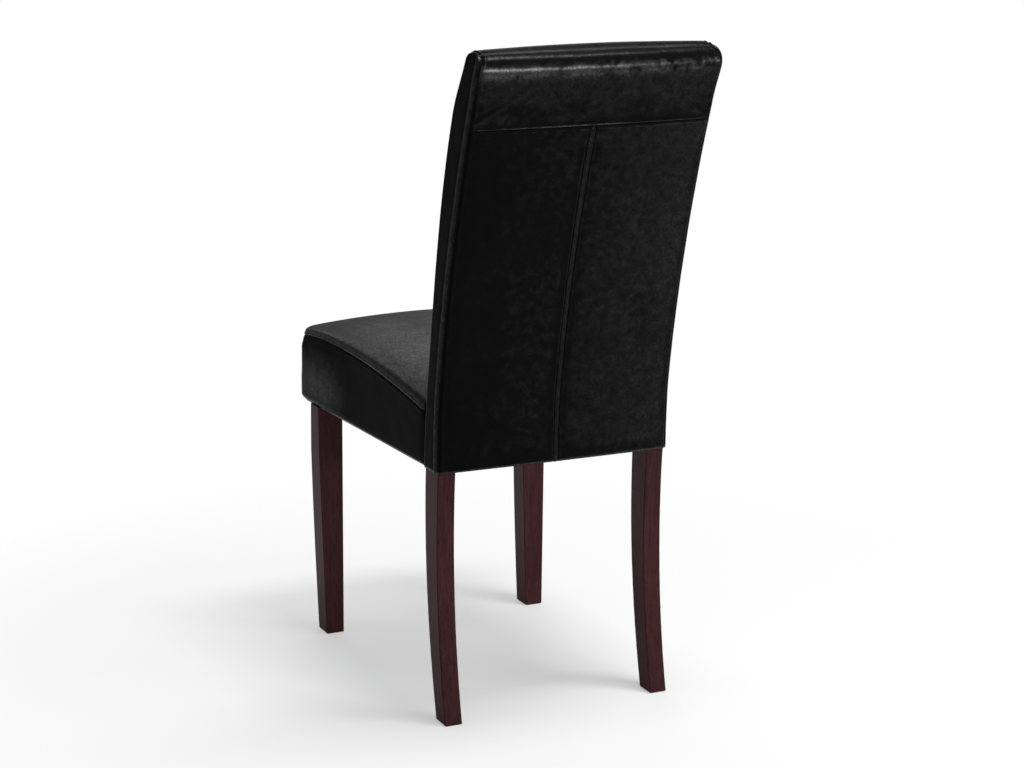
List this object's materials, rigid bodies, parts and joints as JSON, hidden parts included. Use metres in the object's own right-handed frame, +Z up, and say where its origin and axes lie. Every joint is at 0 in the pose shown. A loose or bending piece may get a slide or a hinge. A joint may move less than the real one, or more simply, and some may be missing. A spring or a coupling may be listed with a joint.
{
  "type": "upholstered dining chair",
  "caption": "High-backed armless dining chair with fully upholstered leather seat and curved back on tapered front legs and sabre-curved rear legs of dark stained wood.",
  "frame": {"origin": "On the floor, under the middle of the whole chair's footprint, left to right and front to back", "axes": "+Z up; the sitter faces -Y; +X is the sitter's left"},
  "size_m": [0.4046, 0.6288, 0.9915],
  "materials": {
    "mahogany": "satin lacquer over a dark mahogany stain",
    "raw_wood": "planed, unfinished",
    "hardboard": "pressed fibre, smooth face outwards",
    "webbing": "woven elastic strap",
    "foam": "open-cell polyurethane foam",
    "wadding": "polyester wadding",
    "leather": "black bonded leather, fine grain, satin gloss",
    "cambric": "black non-woven cambric",
    "zinc_steel": "zinc plated"
  },
  "bodies": {
    "root": {"rear_leg_left": "mahogany", "rear_leg_right": "mahogany", "front_leg_left": "mahogany", "front_leg_right": "mahogany", "back_top_rail": "raw_wood", "back_middle_rail": "raw_wood", "back_bottom_rail": "raw_wood", "back_dowels": "raw_wood", "back_board": "hardboard", "back_webbing": "webbing", "back_foam_top": "foam", "back_foam_front": "foam", "back_foam_rear": "foam", "back_side_wadding_left": "wadding", "back_side_wadding_right": "wadding", "back_cover_side_left": "leather", "back_cover_side_right": "leather", "back_cover_rear_left": "leather", "back_cover_rear_right": "leather", "back_cover_top_band": "leather", "back_cover_front_panel": "leather", "seat_rail_front": "raw_wood", "seat_rail_rear": "raw_wood", "seat_rail_left": "raw_wood", "seat_rail_right": "raw_wood", "seat_dowels": "raw_wood", "corner_block_front_left": "raw_wood", "corner_block_front_right": "raw_wood", "corner_block_rear_left": "raw_wood", "corner_block_rear_right": "raw_wood", "corner_block_screws": "zinc_steel", "seat_webbing_lengthwise": "webbing", "seat_webbing_crosswise": "webbing", "seat_foam": "foam", "seat_front_foam": "foam", "seat_side_foam_left": "foam", "seat_side_foam_right": "foam", "seat_cover_top_panel": "leather", "seat_cover_boxing": "leather", "seat_cover_rear_strip": "leather", "dust_cover": "cambric", "back_bolts": "zinc_steel", "back_washers": "zinc_steel", "back_tee_nuts": "zinc_steel"}
  },
  "joints": []
}
